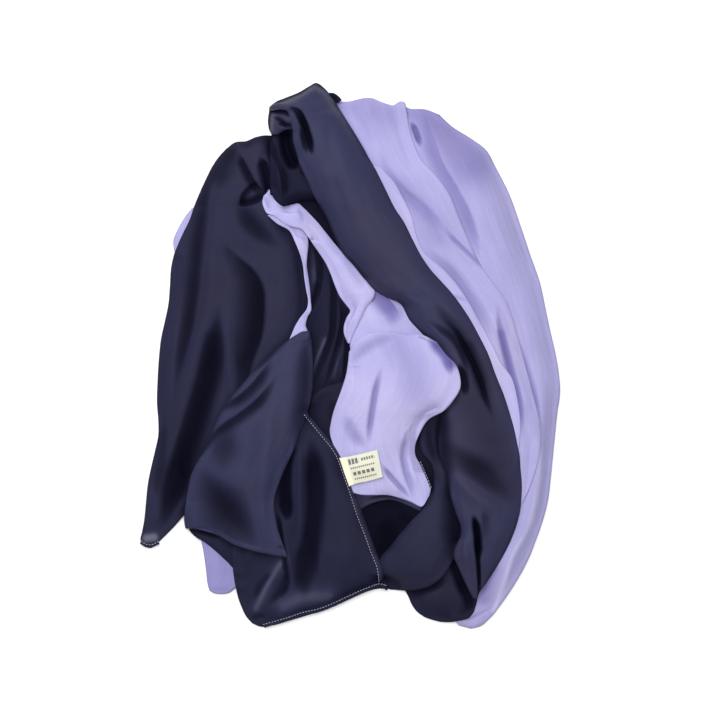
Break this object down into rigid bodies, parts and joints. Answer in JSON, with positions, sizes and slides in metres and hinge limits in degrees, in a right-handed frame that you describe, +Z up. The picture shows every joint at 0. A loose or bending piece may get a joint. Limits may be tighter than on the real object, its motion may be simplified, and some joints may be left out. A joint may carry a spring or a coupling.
{
  "type": "modal scarf",
  "caption": "Double-faced navy and lilac modal scarf, looped over itself and dropped in a soft flat heap, with narrow stitched hems and a small woven label.",
  "frame": {"origin": "middle of the heap's plan, on the table", "axes": "+Z up from the table, +Y along the heap's length towards the loop that holds it together, +X across it towards the lilac drapes"},
  "size_m": [0.4208, 0.5459, 0.0465],
  "materials": {
    "navy_face": "fine modal twill, deep navy, soft satin sheen",
    "lilac_reverse": "fine modal twill, pale lilac reverse, matt with faint slubs",
    "woven_label": "cream satin-woven label, plain dashes",
    "hem_thread": "pale polyester sewing thread"
  },
  "bodies": {
    "root": {"hidden_layers": "navy_face", "lilac_tail": "lilac_reverse", "wing_reverse": "lilac_reverse", "outer_drape": "lilac_reverse", "inner_drape": "lilac_reverse", "drape_strip": "lilac_reverse", "knot_back_fold": "navy_face", "left_wing": "navy_face", "inner_pleats": "navy_face", "reverse_sliver": "lilac_reverse", "lilac_upper": "lilac_reverse", "lilac_strip": "lilac_reverse", "navy_tongue": "navy_face", "small_fold": "navy_face", "lower_hollow": "navy_face", "lower_fold": "navy_face", "bottom_lobe": "navy_face", "front_lobe": "navy_face", "neck_panel": "navy_face", "corner_panel": "navy_face", "front_flap": "navy_face", "main_band": "navy_face", "knot_curl": "navy_face", "lilac_billow": "lilac_reverse", "woven_label": "woven_label"}
  },
  "joints": []
}
